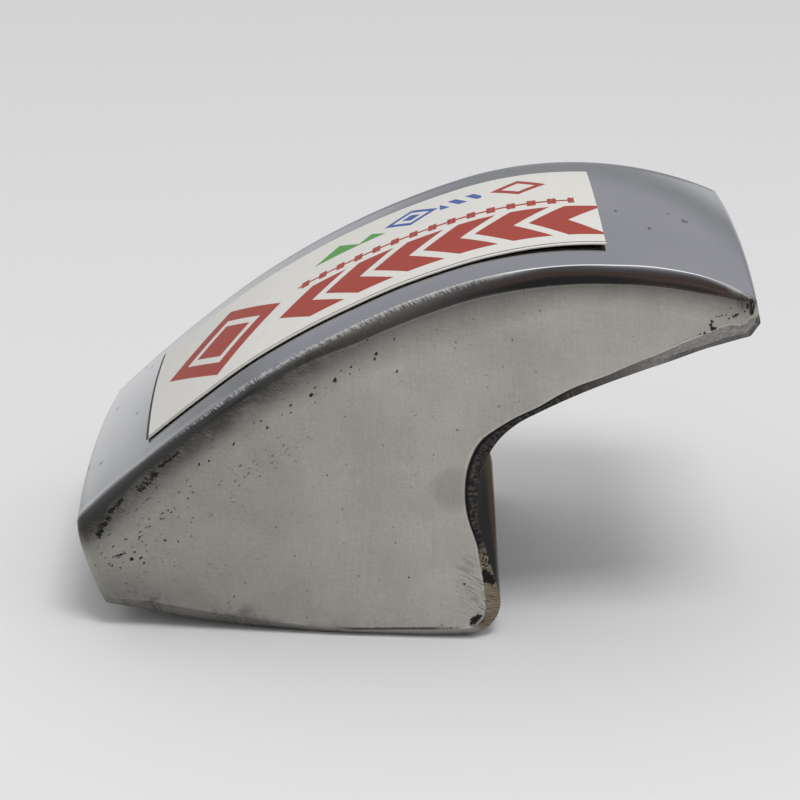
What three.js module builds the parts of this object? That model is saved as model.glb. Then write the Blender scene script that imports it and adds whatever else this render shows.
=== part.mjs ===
// Hooked hand dolly for panel beating: one solid steel anvil with a printed label stuck on its crown.
// Millimetres. +X runs from the heel to the tip of the hook, +Y across the width and +Z up from the
// foot that it rests on. The origin is on the bench, under the middle of the outline.
import * as THREE from 'three';

// Block: overall sizes
const width = 62;
const crestHeight = 62.05;        // top of the working face above the bench, at its two long edges
const crossCrown = 1.2;           // how much higher the working face stands at mid width

// Block: working face, from the crest towards the tip and back towards the heel
const crestRadius = 61.5;
const crestToTipAngle = 21.1;     // angles are what the arcs turn by, in degrees
const crestToShoulderAngle = 20;
const shoulderRadius = 132.5;
const shoulderAngle = 19.6;
const heelRunRadius = 238;
const heelRunAngle = 6.45;

// Block: tip of the hook
const tipCornerRadius = 0.8;
const tipCornerAngle = 54;
const tipFaceLength = 3.45;
const noseRadius = 2.4;
const noseAngle = 85.4;

// Block: underside of the hook, throat and the wall under it
const hookFlatLength = 13.9;
const hookBowRadius = 110;
const hookBowAngle = 10.9;
const throatRadius = 15.8;
const throatAngle = 52.4;
const wallRadius = 20;
const wallAngle = 24.8;
const footCornerRadius = 5.5;

// Block: foot, and the blunt heel end above it
const toeRadius = 80;
const toeAngle = 5;
const restLength = 9.5;           // the flat stretch that the block stands on
const soleRadius = 203;
const soleAngle = 11.3;
const heelFootRadius = 1.5;
const heelFootAngle = 50;
const heelTopRadius = 0.8;
const heelTopAngle = 62;
const heelFaceRadius = 52;

// Block: rounding between the ground sides and each stretch of the outline
const crestEdge = 2.1;
const heelEdge = 1.3;
const soleEdge = 1.9;
const footEdge = 2.2;
const throatEdge = 1.6;
const hookEdge = 1.3;
const tipEdge = 2.6;
const cornerBlend = 3.2;          // how far a change of rounding or direction is spread along the outline
const blendShares = [-1, -0.5, 0, 0.5, 1];

// Block: forging swell, how far a stretch stands out at mid width
const throatSwell = 2.0;
const tipSwell = 0.6;
const heelSwell = 0.3;
const crownPower = 2;             // a parabola across the width
const swellPower = 1.25;          // two nearly straight slopes that meet at the parting line

// Label: corners on the working face, as the run along its edge from the crest and the place across
// the width from the near side
const labelNearLeft = { fromCrest: -79, fromNearSide: 9.2 };
const labelNearRight = { fromCrest: 0.2, fromNearSide: 8.6 };
const labelFarLeft = { fromCrest: -80.6, fromNearSide: 51.9 };
const labelFarRight = { fromCrest: -0.5, fromNearSide: 50.4 };
const filmThickness = 0.2;
const adhesiveThickness = 0.12;
const labelSeatGap = 0.05;        // between the steel and the adhesive
const adhesiveGap = 0.02;         // between the adhesive and the film
const adhesiveInset = 0.7;        // how far the adhesive stays inside the film's cut edges
const cornerLift = 0.8;           // how far the near right corner has come away from the steel
const liftRun = 22;               // how far the lift reaches along the label
const liftAcross = 9;             // and across it

// Facets: how many flats each stretch of the outline is made of
const crestSteps = 12;
const shoulderSteps = 9;
const heelRunSteps = 5;
const cornerSteps = 3;
const tipFaceSteps = 3;
const noseSteps = 6;
const hookSteps = 4;
const bowSteps = 5;
const throatSteps = 8;
const wallSteps = 4;
const footSteps = 8;
const toeSteps = 2;
const restSteps = 2;
const soleSteps = 8;
const heelFaceSteps = 4;
const edgeSteps = 4;
const bodySteps = 12;
const backFacets = crestSteps + shoulderSteps + heelRunSteps + 1;
const labelRunSteps = 34;
const labelAcrossSteps = 9;

// Materials
const groundSteel = new THREE.MeshStandardMaterial({ color: 0x8c8c86, roughness: 0.42, metalness: 0.9 });
const printedFilm = new THREE.MeshStandardMaterial({ color: 0xd8d6cf, roughness: 0.5, metalness: 0 });
const oldAdhesive = new THREE.MeshStandardMaterial({ color: 0x6b4a2c, roughness: 0.8, metalness: 0 });

const radians = THREE.MathUtils.degToRad;

// A pen that draws tangent lines and arcs in the XZ plane. A positive turn bends to the left.
class Pen {
  constructor(x, z, heading) {
    this.at = new THREE.Vector2(x, z);
    this.heading = radians(heading);
    this.points = [this.at.clone()];
  }

  line(length, steps) {
    const from = this.at.clone();
    const ahead = new THREE.Vector2(Math.cos(this.heading), Math.sin(this.heading));
    for (let i = 1; i <= steps; i++) {
      this.points.push(from.clone().addScaledVector(ahead, length * i / steps));
    }
    this.at = this.points.at(-1).clone();
    return this;
  }

  arc(radius, turn, steps) {
    const spoke = new THREE.Vector2(Math.sin(this.heading), -Math.cos(this.heading));
    spoke.multiplyScalar(Math.sign(turn) * radius);
    const centre = this.at.clone().sub(spoke);
    for (let i = 1; i <= steps; i++) {
      const point = spoke.clone().rotateAround(new THREE.Vector2(), radians(turn) * i / steps);
      this.points.push(point.add(centre));
    }
    this.at = this.points.at(-1).clone();
    this.heading += radians(turn);
    return this;
  }
}

// A shallow arc from one point to another that bulges to the left of the way it goes.
function arcBetween(from, to, radius, steps) {
  const chord = to.clone().sub(from);
  const turn = 2 * Math.asin(chord.length() / (2 * radius));
  const heading = Math.atan2(chord.y, chord.x) + turn / 2;
  const pen = new Pen(from.x, from.y, THREE.MathUtils.radToDeg(heading));
  return pen.arc(radius, -THREE.MathUtils.radToDeg(turn), steps).points;
}

// Stretches of the outline, clockwise from the crest. Each has its points, the power of its swell, and
// the edge rounding and swell that it has at its two ends.
function drawOutline() {
  const stretches = [];
  const resume = (pen) => new Pen(pen.at.x, pen.at.y, THREE.MathUtils.radToDeg(pen.heading));
  const keep = (pen, edge, swell, power = swellPower) => {
    stretches.push({ points: pen.points.slice(1), edge, swell, power });
    return resume(pen);
  };

  const crest = new Pen(0, crestHeight, 0).arc(crestRadius, -crestToTipAngle, crestSteps);
  const tip = keep(crest, [crestEdge, crestEdge], [crossCrown, crossCrown], crownPower)
    .arc(tipCornerRadius, -tipCornerAngle, cornerSteps)
    .line(tipFaceLength, tipFaceSteps)
    .arc(noseRadius, -noseAngle, noseSteps);
  const hook = keep(tip, [tipEdge, tipEdge], [tipSwell, tipSwell])
    .line(hookFlatLength, hookSteps)
    .arc(hookBowRadius, hookBowAngle, bowSteps);
  const throat = keep(hook, [tipEdge, hookEdge], [tipSwell, throatSwell])
    .arc(throatRadius, throatAngle, throatSteps)
    .arc(wallRadius, wallAngle, wallSteps);
  const wall = keep(throat, [hookEdge, throatEdge], [throatSwell, throatSwell]);

  // The straight of the wall is as long as it takes for the toe to end level with the bench.
  const levelAngle = 180 - THREE.MathUtils.euclideanModulo(-THREE.MathUtils.radToDeg(wall.heading), 360);
  const footAngle = levelAngle - toeAngle;
  const trial = resume(wall).arc(footCornerRadius, -footAngle, 1).arc(toeRadius, -toeAngle, 1);
  wall.line(trial.at.y / -Math.sin(wall.heading), wallSteps);
  const foot = keep(wall, [throatEdge, footEdge], [throatSwell, 0])
    .arc(footCornerRadius, -footAngle, footSteps)
    .arc(toeRadius, -toeAngle, toeSteps)
    .line(restLength, restSteps)
    .arc(soleRadius, -soleAngle, soleSteps);
  const heelFoot = keep(foot, [footEdge, soleEdge], [0, 0]).arc(heelFootRadius, -heelFootAngle, cornerSteps);

  // The back half of the working face is drawn from the crest too, then turned round to close the outline.
  const back = new Pen(0, crestHeight, 180)
    .arc(crestRadius, crestToShoulderAngle, crestSteps)
    .arc(shoulderRadius, shoulderAngle, shoulderSteps)
    .arc(heelRunRadius, heelRunAngle, heelRunSteps);
  const heelTop = resume(back).arc(heelTopRadius, heelTopAngle, cornerSteps);
  const heelFace = arcBetween(heelFoot.at, heelTop.at, heelFaceRadius, heelFaceSteps).slice(1, -1);
  const heelPoints = [...heelFoot.points.slice(1), ...heelFace, ...heelTop.points.slice(1).reverse()];
  const heel = { edge: [heelEdge, heelEdge], swell: [heelSwell, heelSwell], power: swellPower };
  const crown = { edge: [heelEdge, crestEdge], swell: [crossCrown, crossCrown], power: crownPower };
  stretches.push({ points: heelPoints, ...heel });
  stretches.push({ points: back.points.reverse(), ...crown });
  return stretches;
}

// The closed outline as arrays of points, runs, outward normals and values blended along the run.
function readOutline(stretches) {
  const stations = stretches.flatMap(({ points, edge, swell, power }) => points.map((point, i) => {
    const share = (i + 1) / points.length;
    const between = ([from, to]) => THREE.MathUtils.lerp(from, to, share);
    return { point, edge: between(edge), swell: between(swell), power };
  }));

  const count = stations.length;
  const runs = [0];
  for (let i = 0; i < count; i++) {
    runs.push(runs[i] + stations[i].point.distanceTo(stations[(i + 1) % count].point));
  }
  const total = runs[count];
  const locate = (run) => {
    const wrapped = THREE.MathUtils.euclideanModulo(run, total);
    const i = Math.min(runs.findIndex((r) => r > wrapped), count) - 1;
    const share = (wrapped - runs[i]) / (runs[i + 1] - runs[i]);
    return { a: stations[i], b: stations[(i + 1) % count], share };
  };
  const pointAt = (run) => {
    const { a, b, share } = locate(run);
    return a.point.clone().lerp(b.point, share);
  };
  const blended = (run, key) => {
    const samples = blendShares.map((share) => {
      const { a, b, share: between } = locate(run + share * cornerBlend);
      return THREE.MathUtils.lerp(a[key], b[key], between);
    });
    return samples.reduce((sum, value) => sum + value) / samples.length;
  };
  const outline = stations.map((station, i) => {
    const along = pointAt(runs[i] + cornerBlend).sub(pointAt(runs[i] - cornerBlend)).normalize();
    return {
      point: station.point,
      out: new THREE.Vector2(-along.y, along.x),
      edge: blended(runs[i], 'edge'),
      swell: blended(runs[i], 'swell'),
      power: station.power,
    };
  });
  // The origin goes under the middle of the outline at mid width, where the block is longest.
  const longest = outline.map(({ point, out, swell }) => point.clone().addScaledVector(out, swell));
  const box = new THREE.Box2().setFromPoints(longest);
  const middle = new THREE.Vector2((box.min.x + box.max.x) / 2, 0);
  return outline.map((station) => ({ ...station, point: station.point.clone().sub(middle) }));
}

// A closed mesh from loops of points that lie one behind the other, with the same cap on both ends.
function meshFromLoops(loops, cap) {
  const count = loops[0].length;
  const positions = loops.flat().flatMap((point) => point.toArray());
  const index = [];
  for (let row = 0; row + 1 < loops.length; row++) {
    for (let i = 0; i < count; i++) {
      const a = row * count + i;
      const b = row * count + (i + 1) % count;
      index.push(a, b, a + count, b, b + count, a + count);
    }
  }
  const last = (loops.length - 1) * count;
  for (const [a, b, c] of cap) {
    index.push(a, b, c);
    index.push(last + a, last + c, last + b);
  }
  const geometry = new THREE.BufferGeometry();
  geometry.setAttribute('position', new THREE.Float32BufferAttribute(positions, 3));
  geometry.setIndex(index);
  geometry.computeVertexNormals();
  return geometry;
}

// Triangles that fill the outline: rungs from the working face to the underside at like shares of both.
function ladder(outline) {
  const count = outline.length;
  const heel = count - backFacets;
  const upper = Array.from({ length: backFacets + crestSteps }, (_, i) => (heel + i) % count);
  const lower = Array.from({ length: count - upper.length + 2 }, (_, i) => (heel - i + count) % count);
  const shares = (chain) => {
    const runs = [0];
    for (let i = 1; i < chain.length; i++) {
      runs.push(runs[i - 1] + outline[chain[i]].point.distanceTo(outline[chain[i - 1]].point));
    }
    return runs.map((run) => run / runs.at(-1));
  };
  const upperShares = shares(upper);
  const lowerShares = shares(lower);
  const triangles = [];
  let i = 0;
  let j = 0;
  while (i + 1 < upper.length || j + 1 < lower.length) {
    const upperNext = i + 1 < upper.length && upperShares[i + 1] <= lowerShares[j + 1];
    if (upperNext || j + 1 === lower.length) triangles.push([upper[i], lower[j], upper[++i]]);
    else triangles.push([upper[i], lower[j], lower[++j]]);
  }
  return triangles.filter(([a, b, c]) => a !== b && b !== c && c !== a);
}

function makeBlock(outline) {
  const half = width / 2;
  const place = (station, inset, y) => {
    const point = station.point.clone().addScaledVector(station.out, -inset);
    return new THREE.Vector3(point.x, y, point.y);
  };
  const loops = [];
  const rounded = (side, k) => {
    const angle = Math.PI / 2 * k / edgeSteps;
    const [inShare, backShare] = [1 - Math.sin(angle), 1 - Math.cos(angle)];
    return outline.map((s) => place(s, s.edge * inShare, side * (half - s.edge * backShare)));
  };
  for (let k = 0; k <= edgeSteps; k++) loops.push(rounded(-1, k));
  for (let k = 1; k < bodySteps; k++) {
    const across = 2 * k / bodySteps - 1;
    loops.push(outline.map((s) => place(s, -bodyRise(s, across), across * (half - s.edge))));
  }
  for (let k = edgeSteps; k >= 0; k--) loops.push(rounded(1, k));
  return new THREE.Mesh(meshFromLoops(loops, ladder(outline)), groundSteel);
}

// How far the body stands out past the outline, across is -1 at the near side and 1 at the far one.
function bodyRise(station, across) {
  return station.swell * (1 - Math.abs(across) ** station.power);
}

// A point on the working face, at a run along its edge from the crest and a place from the near side.
function makeCrownSurface(outline) {
  const crown = [...outline.slice(-backFacets), ...outline.slice(0, crestSteps)];
  const crest = crown.reduce((best, s, i) => (s.point.y > crown[best].point.y ? i : best), 0);
  const runs = [0];
  for (let i = 1; i < crown.length; i++) {
    runs.push(runs[i - 1] + crown[i].point.distanceTo(crown[i - 1].point));
  }
  const zero = runs[crest];
  return (run, across, height) => {
    const i = THREE.MathUtils.clamp(runs.findIndex((r) => r > run + zero), 1, crown.length - 1);
    const share = (run + zero - runs[i - 1]) / (runs[i] - runs[i - 1]);
    const [a, b] = [crown[i - 1], crown[i]];
    const point = a.point.clone().lerp(b.point, share);
    const out = a.out.clone().lerp(b.out, share).normalize();
    const edge = THREE.MathUtils.lerp(a.edge, b.edge, share);
    const y = across - width / 2;
    const rise = bodyRise(a, y / (width / 2 - edge));
    point.addScaledVector(out, rise + height);
    return new THREE.Vector3(point.x, y, point.y);
  };
}

// A thin sheet on the working face between two heights, inset from the label's cut edges.
function makeSheet(surface, inset, low, high, material) {
  const corner = ({ fromCrest, fromNearSide }, runSide, acrossSide) => (
    new THREE.Vector2(fromCrest + runSide * inset, fromNearSide + acrossSide * inset)
  );
  const nearLeft = corner(labelNearLeft, 1, 1);
  const nearRight = corner(labelNearRight, -1, 1);
  const farLeft = corner(labelFarLeft, 1, -1);
  const farRight = corner(labelFarRight, -1, -1);
  const at = (u, v, height) => {
    const near = nearLeft.clone().lerp(nearRight, u);
    const far = farLeft.clone().lerp(farRight, u);
    const place = near.lerp(far, v);
    const fromEnd = Math.max(0, 1 - (labelNearRight.fromCrest - place.x) / liftRun);
    const fromSide = Math.max(0, 1 - (place.y - labelNearRight.fromNearSide) / liftAcross);
    return surface(place.x, place.y, height + cornerLift * fromEnd * fromSide ** 2);
  };
  // Each loop goes round the sheet's section: along the underside and back along the top.
  const loops = [];
  for (let i = 0; i <= labelRunSteps; i++) {
    const loop = [];
    const u = i / labelRunSteps;
    for (let j = 0; j <= labelAcrossSteps; j++) loop.push(at(u, j / labelAcrossSteps, low));
    for (let j = labelAcrossSteps; j >= 0; j--) loop.push(at(u, j / labelAcrossSteps, high));
    loops.push(loop);
  }
  const cap = [];
  for (let j = 0; j < labelAcrossSteps; j++) {
    const top = 2 * labelAcrossSteps + 1 - j;
    cap.push([j, top, j + 1], [j + 1, top, top - 1]);
  }
  return new THREE.Mesh(meshFromLoops(loops, cap), material);
}

const outline = readOutline(drawOutline());
const surface = makeCrownSurface(outline);

const block = makeBlock(outline);
block.name = 'dolly_block';

const adhesiveTop = labelSeatGap + adhesiveThickness;
const adhesive = makeSheet(surface, adhesiveInset, labelSeatGap, adhesiveTop, oldAdhesive);
adhesive.name = 'label_adhesive';

const filmLow = adhesiveTop + adhesiveGap;
const film = makeSheet(surface, 0, filmLow, filmLow + filmThickness, printedFilm);
film.name = 'label_face';

const group = new THREE.Group();
group.add(block, adhesive, film);

export default group;
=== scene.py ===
import math

import bpy
import numpy as np
from mathutils import Matrix, Vector


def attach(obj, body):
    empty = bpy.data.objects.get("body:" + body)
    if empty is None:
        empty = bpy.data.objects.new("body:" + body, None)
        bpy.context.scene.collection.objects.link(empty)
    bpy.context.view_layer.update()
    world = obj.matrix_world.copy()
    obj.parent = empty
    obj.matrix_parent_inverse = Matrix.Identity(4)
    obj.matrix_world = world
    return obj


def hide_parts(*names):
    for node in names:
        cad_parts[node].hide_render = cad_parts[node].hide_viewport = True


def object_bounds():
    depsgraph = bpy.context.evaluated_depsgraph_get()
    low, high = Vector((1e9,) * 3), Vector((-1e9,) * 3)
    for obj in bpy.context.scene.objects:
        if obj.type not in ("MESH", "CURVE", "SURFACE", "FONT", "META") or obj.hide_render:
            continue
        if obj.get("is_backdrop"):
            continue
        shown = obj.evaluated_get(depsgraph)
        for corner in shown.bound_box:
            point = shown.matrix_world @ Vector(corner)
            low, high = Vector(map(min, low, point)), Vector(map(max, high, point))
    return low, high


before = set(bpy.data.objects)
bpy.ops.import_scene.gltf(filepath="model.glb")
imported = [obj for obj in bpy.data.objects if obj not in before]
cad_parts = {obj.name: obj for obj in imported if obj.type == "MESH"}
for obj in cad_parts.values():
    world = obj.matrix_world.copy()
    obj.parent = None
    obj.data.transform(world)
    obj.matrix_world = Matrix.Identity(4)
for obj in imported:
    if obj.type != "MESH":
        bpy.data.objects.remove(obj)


def corners(box):
    """Both corners of a box as plain lists of numbers."""
    return [[float(value) for value in corner] for corner in box]


cad_box = corners(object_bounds())

MM = 0.001

# Camera, as the photograph has it
PHOTO = 800  # pixels along each side
SENSOR = 36
LENS = 117
FOCAL = LENS * PHOTO / SENSOR
CAMERA = np.array([-2.06, -401.57, 176.76])
CAMERA_DIP = math.radians(20.26)
CAMERA_ROLL = math.radians(1.91)
NEAREST_SEEN = 0.01

# Block, as the solids have it
WIDTH = 62
HALF = WIDTH / 2
CREST_HEIGHT = 62.05
CROSS_CROWN = 1.2
THROAT_SWELL = 2.0
TIP_SWELL = 0.6
HEEL_SWELL = 0.3
CROWN_POWER = 2
SWELL_POWER = 1.25
CORNER_BLEND = 3.2  # reach each way over which the rims' direction turns
SWELL_BLEND = 1.0  # and the swell's
CORNER_HOLD = 1.7  # how far the swell's turn is moved past the working face's ends
GRIND_BLUR = 1.2  # reach over which the near rims' values are averaged
HOLD_BLUR = 0.3
BLUR_STEPS = 9

# Outline in front of the crest, behind it and below it: a length, or a radius and a turn in degrees
FRONT = {
    "crest": (61.5, -21.1), "tip_corner": (0.8, -54), "tip_face": 3.62, "nose_turn": (0.6, -42.7),
    "nose": 2.17, "hook_turn": (0.6, -42.7), "hook": 14.07, "bow": (110, 10.9), "throat": (15.8, 52.4),
    "bend": (20, 24.8),
}
BACK = {"back_crest": (61.5, 20), "shoulder": (132.5, 19.6), "heel_run": (238, 6.45), "heel_top": (0.8, 62)}
BELOW = {"rest": 9.5, "sole": (203, -11.3), "heel_foot": (1.5, -50)}
FOOT_RADIUS = 5.5
TOE_RADIUS = 80
TOE_TURN = 5
HEEL_RADIUS = 52
FINE = 300  # steps that a stretch is drawn in
SHARP = math.radians(40)  # angle between faces from which an edge is drawn sharp

# Label: its left and right corners, near and far, as runs from the crest and ways across from the near side
LABEL = np.array([[(-79, 9.2), (0.2, 8.6)], [(-80.6, 51.9), (-0.5, 50.4)]])
FILM = 0.2
ADHESIVE = 0.12
SEAT_GAP = 0.05
ADHESIVE_GAP = 0.02
ADHESIVE_INSET = 0.7
CORNER_LIFT = 0.3
LIFT_RUN = 22
LIFT_ACROSS = 9


def placed(name, data):
    """An object of the scene."""
    thing = bpy.data.objects.new(name, data)
    bpy.context.scene.collection.objects.link(thing)
    return thing


# Camera

def camera_axes():
    """The camera's right, up and forward: forward dips below +Y, and the others are rolled about it."""
    forward = np.array([0, math.cos(CAMERA_DIP), -math.sin(CAMERA_DIP)])
    level = np.array([1.0, 0, 0])
    upright = np.cross(level, forward)
    right = math.cos(CAMERA_ROLL) * level + math.sin(CAMERA_ROLL) * upright
    up = math.cos(CAMERA_ROLL) * upright - math.sin(CAMERA_ROLL) * level
    return right, up, forward


RIGHT, UP, FORWARD = camera_axes()


def make_camera():
    data = bpy.data.cameras.new("camera")
    data.lens = LENS
    data.sensor_width = SENSOR
    data.clip_start = NEAREST_SEEN
    camera = placed("camera", data)
    turn = Matrix(np.stack([RIGHT, UP, -FORWARD], axis=1).tolist()).to_4x4()
    camera.matrix_world = Matrix.Translation(CAMERA * MM) @ turn
    bpy.context.scene.camera = camera


def from_photo(across, down, y=-HALF):
    """The point at depth y under a pixel of the photograph: the camera's ray, cut by that plane."""
    ray = FORWARD + (across - PHOTO / 2) / FOCAL * RIGHT + (PHOTO / 2 - down) / FOCAL * UP
    return tuple(CAMERA + ray * (y - CAMERA[1]) / ray[1])


# Outline

class Pen:
    """Draws tangent lines and arcs in the XZ plane as dense points. A positive turn bends to the left."""

    def __init__(self, x, z, heading):
        self.at = np.array([x, z], float)
        self.heading = math.radians(heading)

    def line(self, length):
        """Points at equal steps along the heading."""
        ahead = np.array([math.cos(self.heading), math.sin(self.heading)])
        points = self.at + np.linspace(0, length, FINE + 1)[:, None] * ahead
        self.at = points[-1]
        return points

    def arc(self, radius, turn):
        """The centre, plus the spoke to the pen turned by equal shares of the turn."""
        side = math.copysign(radius, turn)
        centre = self.at + side * np.array([-math.sin(self.heading), math.cos(self.heading)])
        angle = self.heading + np.linspace(0, math.radians(turn), FINE + 1)
        points = centre + side * np.stack([np.sin(angle), -np.cos(angle)], axis=1)
        self.at = points[-1]
        self.heading = angle[-1]
        return points

    def draw(self, stretches):
        """Stretches end to end: a line for each length, and an arc for each radius and turn."""
        drawn = {}
        for name, shape in stretches.items():
            drawn[name] = self.arc(*shape) if isinstance(shape, tuple) else self.line(shape)
        return drawn


def draw_outline():
    """The block's closed outline, as named stretches of points that follow each other clockwise."""
    front = Pen(0, CREST_HEIGHT, 0)
    stretches = front.draw(FRONT)
    # The straight of the wall is as long as it takes for the toe to end level with the bench.
    foot_turn = 180 + math.degrees(front.heading) - TOE_TURN
    foot = {"foot": (FOOT_RADIUS, -foot_turn), "toe": (TOE_RADIUS, -TOE_TURN)}
    trial = Pen(*front.at, math.degrees(front.heading))
    trial.draw(foot)
    wall = trial.at[1] / -math.sin(front.heading)
    stretches.update(front.draw({"wall": wall, **foot, **BELOW}))

    back = Pen(0, CREST_HEIGHT, 180)
    rising = back.draw(BACK)
    chord = back.at - front.at
    heel_turn = 2 * math.asin(np.hypot(*chord) / 2 / HEEL_RADIUS)
    heel = Pen(*front.at, math.degrees(math.atan2(chord[1], chord[0]) + heel_turn / 2))
    stretches["heel_face"] = heel.arc(HEEL_RADIUS, -math.degrees(heel_turn))
    rising = {name: points[::-1] for name, points in reversed(rising.items())}
    return {**rising, **stretches}


STRETCHES = draw_outline()
TRACK = np.concatenate([points[1:] for points in STRETCHES.values()])
TRACK = np.concatenate([TRACK[-1:], TRACK])
RUNS = np.concatenate([[0], np.cumsum(np.hypot(*np.diff(TRACK, axis=0).T))])
ROUND = RUNS[-1]
STARTS = dict(zip(STRETCHES, RUNS[::FINE]))
STARTS["end"] = ROUND


def at(stretch, share=0.0):
    """The run at a share of a stretch."""
    names = list(STARTS)
    after = STARTS[names[names.index(stretch) + 1]]
    return STARTS[stretch] + share * (after - STARTS[stretch])


CREST_RUN = at("crest")


def along(run):
    """Points of the outline at runs, which may pass its ends."""
    run = np.mod(run, ROUND)
    return np.stack([np.interp(run, RUNS, TRACK[:, 0]), np.interp(run, RUNS, TRACK[:, 1])], axis=-1)


def outward(run, reach=CORNER_BLEND):
    """Unit normals of the outline, square to the chord that spans a reach each way."""
    chord = along(run + reach) - along(run - reach)
    chord /= np.linalg.norm(chord, axis=-1, keepdims=True)
    return np.stack([-chord[..., 1], chord[..., 0]], axis=-1)


def profile(run, blur, **stretches):
    """A value along the outline. A stretch gives it at its start, or as pairs of share and value. It runs
    straight between them and is then averaged over a blur each way."""
    knots = []
    for stretch, values in stretches.items():
        pairs = values if isinstance(values, list) else [(0, values)]
        knots += [(at(stretch, share), value) for share, value in pairs]
    runs, values = np.array(sorted(knots)).T
    places = [np.mod(run + shift, ROUND) for shift in np.linspace(-blur, blur, BLUR_STEPS)]
    return np.mean([np.interp(place, runs, values, period=ROUND) for place in places], axis=0)


def swell(run):
    """How far the outline stands out at mid width, and the power of that rise across the width."""
    height = profile(
        run, SWELL_BLEND, heel_top=HEEL_SWELL, heel_run=CROSS_CROWN,
        tip_corner=[(0, CROSS_CROWN), (0.9, TIP_SWELL)], hook=TIP_SWELL, throat=THROAT_SWELL,
        wall=THROAT_SWELL, foot=0, sole=0, heel_foot=[(0, 0), (0.9, HEEL_SWELL)],
    )
    power = np.where((run > at("heel_run")) & (run < at("tip_corner")), CROWN_POWER, SWELL_POWER)
    return height, power


MIDDLE_X = (along(RUNS) + swell(RUNS)[0][:, None] * outward(RUNS, SWELL_BLEND))[:, 0]
TRACK = TRACK - [(MIDDLE_X.min() + MIDDLE_X.max()) / 2, 0]


def far_rim(run):
    """Inset, setback, first and last slope of the far long edges, which are round all over."""
    edge = profile(
        run, CORNER_BLEND, heel_top=1.3, back_crest=1.7, crest=2.1, tip_corner=2.1, tip_face=2.6, hook=2.6,
        throat=1.3, wall=1.6, foot=2.2, sole=[(0.9, 1.9)], heel_foot=1.3, heel_face=[(0.9, 1.3)],
    )
    none = np.zeros_like(edge)
    return edge, edge, none, none + 90, none + 1


def near_lift(run):
    """How much higher than the outline the working face starts at its near edge."""
    return profile(
        run, GRIND_BLUR, shoulder=[(0, 0), (0.2, 0.22), (0.6, 0.17), (0.77, 0.32)],
        back_crest=[(0, 0.2), (0.3, 0.05)], crest=[(0.05, 0), (0.3, 0.25), (0.63, 0.47), (0.82, 0.35),
        (0.95, 0.05)], tip_corner=0, heel_face=[(0.9, 0)],
    )


def near_rim(run):
    """The same of the near ones, ground by hand: the working face's turns at once and then slopes, and the
    underside's is a flat chamfer. The fifth value is how gradual the slope is."""
    inset = profile(
        run, GRIND_BLUR, heel_top=1.3, heel_run=[(0, 1.4), (0.25, 1.35), (0.5, 1.0), (0.75, 1.0)],
        shoulder=[(0, 1.25), (0.2, 1.45), (0.4, 1.5), (0.58, 2.25), (0.77, 2.4), (0.94, 2.35)],
        back_crest=[(0.25, 2.5), (0.6, 2.65)], crest=[(0, 2.6), (0.3, 2.55), (0.63, 2.37), (0.82, 1.75)],
        tip_corner=0.85, tip_face=[(0, 0.6), (0.35, 0.5), (0.6, 1.5), (0.8, 2.4)],
        nose=[(0, 2.75), (0.4, 2.95), (0.8, 3.2)],
        hook=[(0, 3.45), (0.1, 3.7), (0.25, 3.78), (0.5, 3.3), (0.75, 2.9), (0.95, 2.4)],
        bow=[(0.15, 2.1), (0.4, 1.6), (0.6, 1.85), (0.75, 1.7), (0.9, 1.3)],
        throat=[(0, 1.3), (0.3, 1.9), (0.55, 3.0), (0.8, 2.8)], bend=[(0, 2.4), (0.4, 1.95)],
        wall=[(0, 1.05), (0.5, 1.5)], foot=2.2, rest=1.8, sole=[(0.05, 1.3), (0.45, 2.1), (0.85, 2.4)],
        heel_foot=1.6, heel_face=[(0.9, 1.3)],
    )
    setback = profile(
        run, GRIND_BLUR, heel_top=2.5, heel_run=[(0, 4.0), (0.25, 4.5), (0.5, 3.3), (0.75, 2.8)],
        shoulder=[(0, 2.5), (0.2, 1.2), (0.4, 1.2), (0.58, 1.8), (0.77, 1.95)],
        back_crest=[(0, 1.9), (0.25, 2.1), (0.6, 1.75)],
        crest=[(0, 1.9), (0.3, 2.15), (0.63, 1.9), (0.82, 1.6)], tip_corner=0.9,
        tip_face=[(0, 0.8), (0.9, 1.5)], nose=[(0.5, 2.1)], hook=[(0, 2.4), (0.5, 2.7), (0.9, 1.6)],
        bow=[(0.2, 1.1)], throat=[(0, 1.1), (0.5, 2.2)], bend=[(0.6, 2.0)], wall=[(0.1, 1.4)], foot=2.2,
        rest=1.6, sole=[(0.9, 1.6)], heel_foot=1.3, heel_face=[(0.9, 1.3)],
    )
    first = profile(
        run, GRIND_BLUR, heel_top=20, shoulder=[(0, 20), (0.2, 25)], back_crest=[(0, 25), (0.25, 17)],
        crest=[(0, 15), (0.3, 27)], tip_corner=27, tip_face=25, nose=20, hook=[(0.5, 20)], bow=28, wall=30,
        foot=40, sole=[(0.9, 35)], heel_foot=5, heel_face=[(0.9, 5)],
    )
    last = profile(
        run, GRIND_BLUR, heel_top=75, heel_run=[(0.6, 75)], shoulder=[(0, 60), (0.2, 51)],
        back_crest=[(0, 50), (0.25, 47)], crest=[(0, 46), (0.3, 51), (0.82, 50)], tip_corner=50,
        tip_face=65, nose=52, hook=[(0.5, 52)], bow=35, throat=55, wall=60, foot=50, sole=[(0.9, 52)],
        heel_foot=85, heel_face=[(0.9, 85)],
    )
    gradual = profile(run, GRIND_BLUR, tip_corner=1.0, nose=0.15, hook=[(0.7, 0.15)], bow=1.0)
    return inset, setback, first, last, gradual


def body_rise(run, across):
    """The swell's height at a share across the width, from -1 at the near edge to 1 at the far one, plus
    the near edge's lift, which fades across the width."""
    height, power = swell(run)
    return height * (1 - np.abs(across) ** power) + near_lift(run) * ((1 - across) / 2) ** 2


# Meshes

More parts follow.
